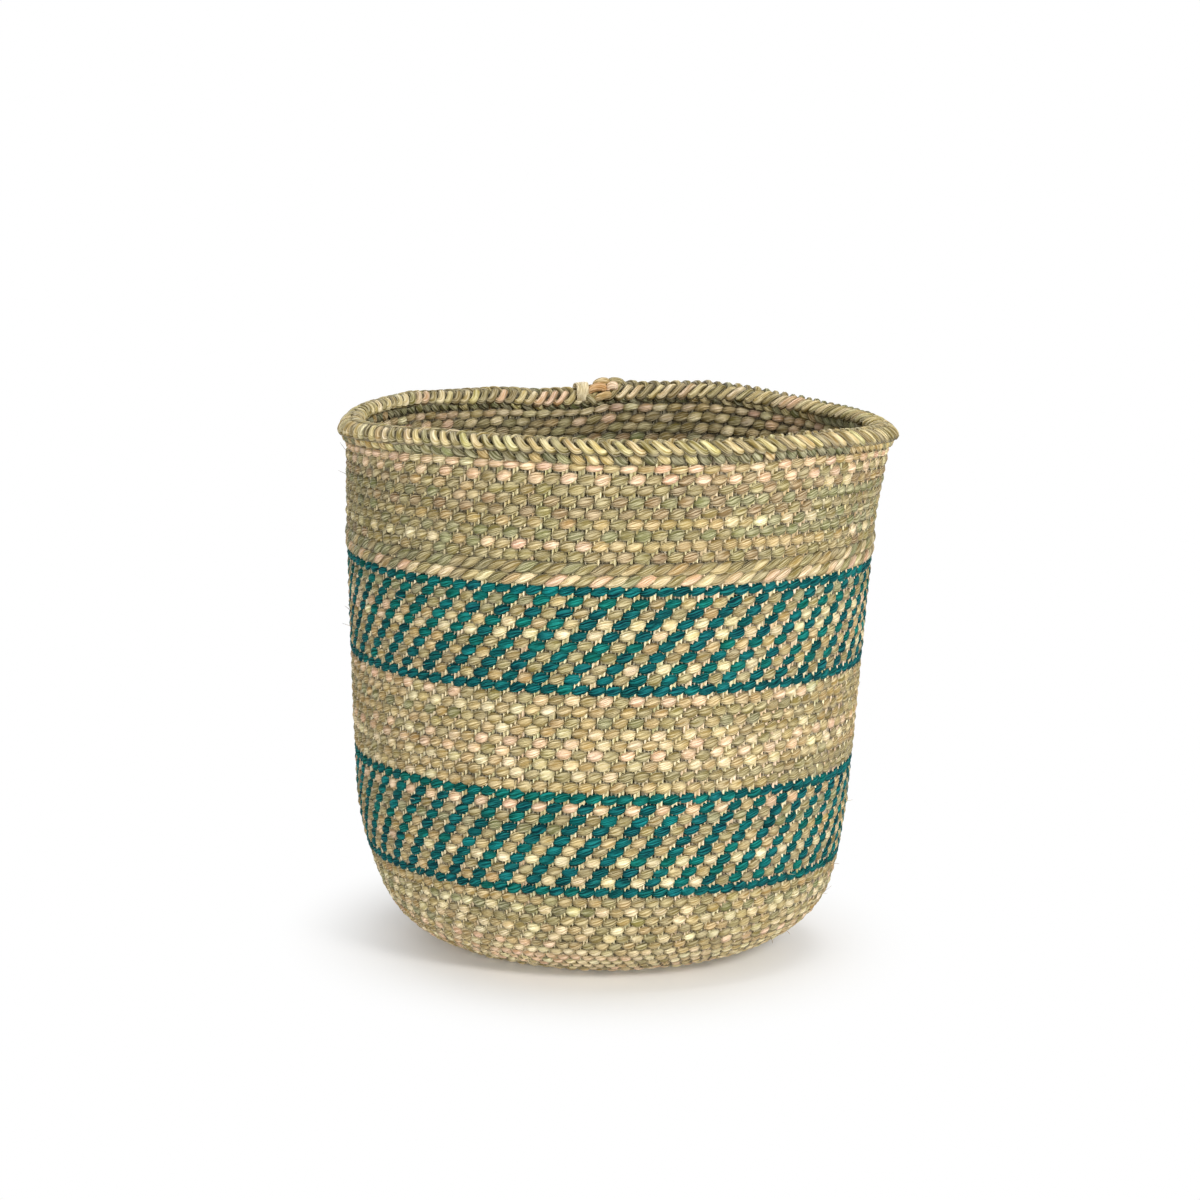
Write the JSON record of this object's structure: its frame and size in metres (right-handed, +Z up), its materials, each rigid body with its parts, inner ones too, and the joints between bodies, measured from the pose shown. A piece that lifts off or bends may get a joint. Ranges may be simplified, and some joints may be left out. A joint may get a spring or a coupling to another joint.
{
  "type": "round grass storage basket",
  "caption": "Open round basket of grass twined over reed stakes, with a flat base, rounded heel, two teal bands of diagonal twill and a plaited rim, for storing small goods.",
  "frame": {"origin": "middle of the flat underside, where the basket stands", "axes": "+Z up along the basket's axis; -Y is the front, opposite the tied end of the rim plait"},
  "size_m": [0.2543, 0.2549, 0.2501],
  "materials": {
    "natural_grass": "dry matt grass",
    "teal_grass": "dyed matt grass",
    "pale_reed": "pale split reed",
    "rim_grass": "dry matt grass"
  },
  "bodies": {
    "root": {"base_start_underside": "natural_grass", "base_start_stakes": "pale_reed", "base_start_inside": "natural_grass", "base_weft": "natural_grass", "heel_weft": "natural_grass", "lower_natural_weft": "natural_grass", "lower_band_bottom_edge": "teal_grass", "lower_band_twill": "teal_grass", "lower_band_top_edge": "teal_grass", "middle_natural_weft": "natural_grass", "upper_band_bottom_edge": "teal_grass", "upper_band_twill": "teal_grass", "upper_band_top_edge": "teal_grass", "lower_wale": "natural_grass", "upper_wale": "natural_grass", "upper_natural_weft": "natural_grass", "rim_footing": "rim_grass", "stake_bundle_01": "pale_reed", "stake_bundle_02": "pale_reed", "stake_bundle_03": "pale_reed", "stake_bundle_04": "pale_reed", "stake_bundle_05": "pale_reed", "stake_bundle_06": "pale_reed", "stake_bundle_07": "pale_reed", "stake_bundle_08": "pale_reed", "stake_bundle_09": "pale_reed", "stake_bundle_10": "pale_reed", "stake_bundle_11": "pale_reed", "stake_bundle_12": "pale_reed", "stake_bundle_13": "pale_reed", "stake_bundle_14": "pale_reed", "stake_bundle_15": "pale_reed", "stake_bundle_16": "pale_reed", "rim_plait_strand_1": "rim_grass", "rim_plait_strand_2": "rim_grass", "rim_plait_strand_3": "rim_grass", "rim_plait_end": "rim_grass", "rim_tie": "pale_reed"}
  },
  "joints": []
}
